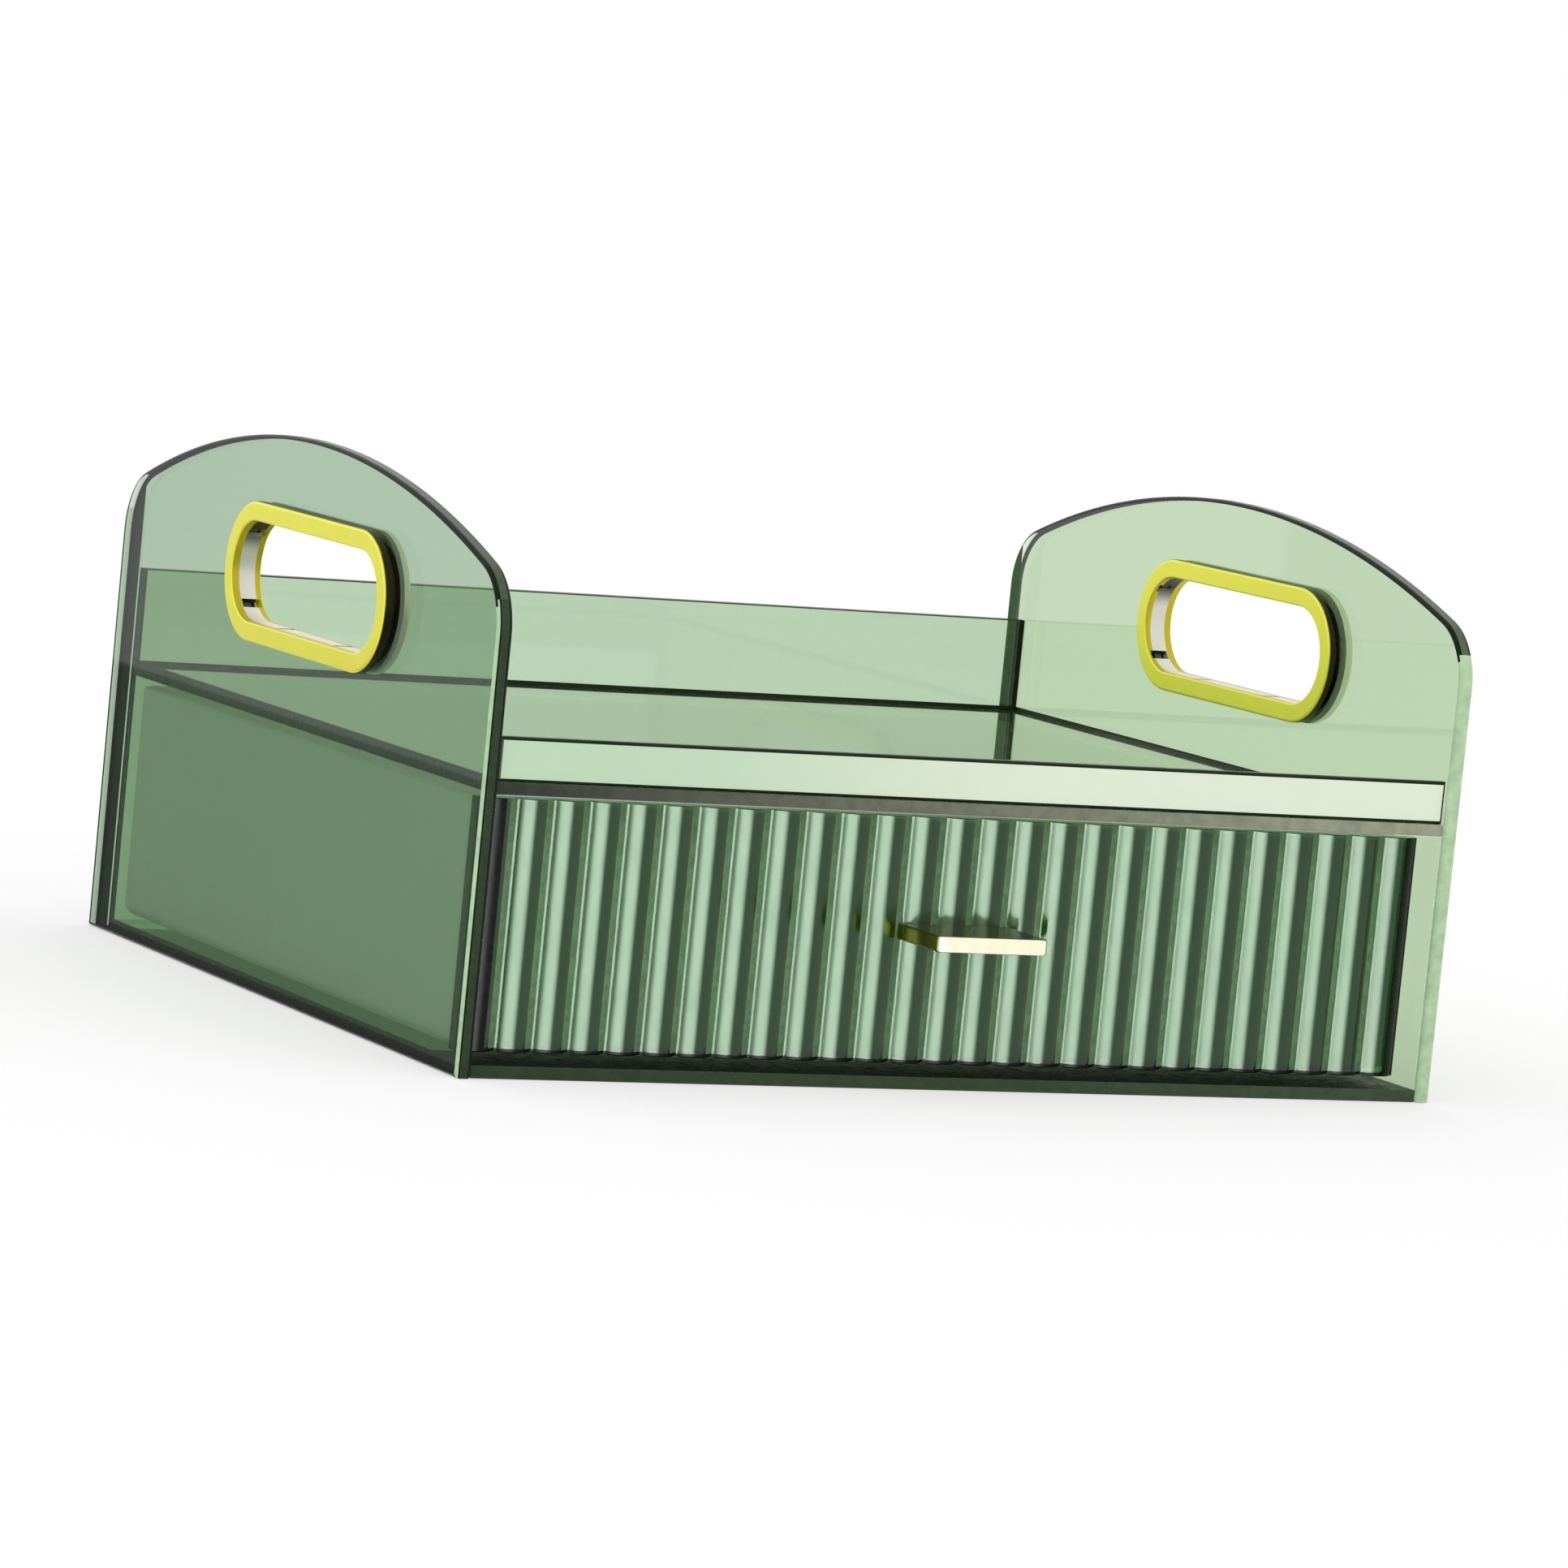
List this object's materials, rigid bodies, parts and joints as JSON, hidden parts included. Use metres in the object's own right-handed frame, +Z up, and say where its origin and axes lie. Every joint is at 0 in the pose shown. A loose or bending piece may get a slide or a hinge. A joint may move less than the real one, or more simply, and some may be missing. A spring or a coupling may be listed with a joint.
{
  "type": "makeup storage box",
  "caption": "Makeup storage box in tinted see-through sheet: open tray with arched sides and gold-ringed hand holes, over a drawer with a ribbed front and a tab pull.",
  "frame": {"origin": "middle of the case's footprint, on the surface that the box stands on", "axes": "+X to the right of someone facing the drawer, +Y to the back, +Z up; the drawer opens towards -Y"},
  "size_m": [0.305, 0.2755, 0.1555],
  "materials": {
    "tinted_sheet": "polished see-through green acrylic sheet",
    "pale_sheet": "polished pale acrylic strip",
    "gold_trim": "bright gold-plated moulded plastic",
    "ribbed_plastic": "glossy moulded see-through green plastic with upright ribs",
    "drawer_plastic": "glossy moulded see-through green plastic",
    "gold_metal": "bright gold-plated metal",
    "screw_steel": "zinc-plated steel"
  },
  "bodies": {
    "case": {"base_panel": "tinted_sheet", "left_side_panel": "tinted_sheet", "right_side_panel": "tinted_sheet", "back_panel": "tinted_sheet", "shelf_panel": "tinted_sheet", "front_lip": "pale_sheet", "left_outer_ring": "gold_trim", "left_inner_ring": "gold_trim", "right_outer_ring": "gold_trim", "right_inner_ring": "gold_trim"},
    "drawer": {"drawer_front": "ribbed_plastic", "drawer_tub": "drawer_plastic", "drawer_pull": "gold_metal", "pull_screws": "screw_steel"}
  },
  "joints": [
    {"name": "drawer_slide", "type": "slide", "parent": "case", "child": "drawer", "axis": [0, -1, 0], "range_m": [0, 0.17]}
  ]
}
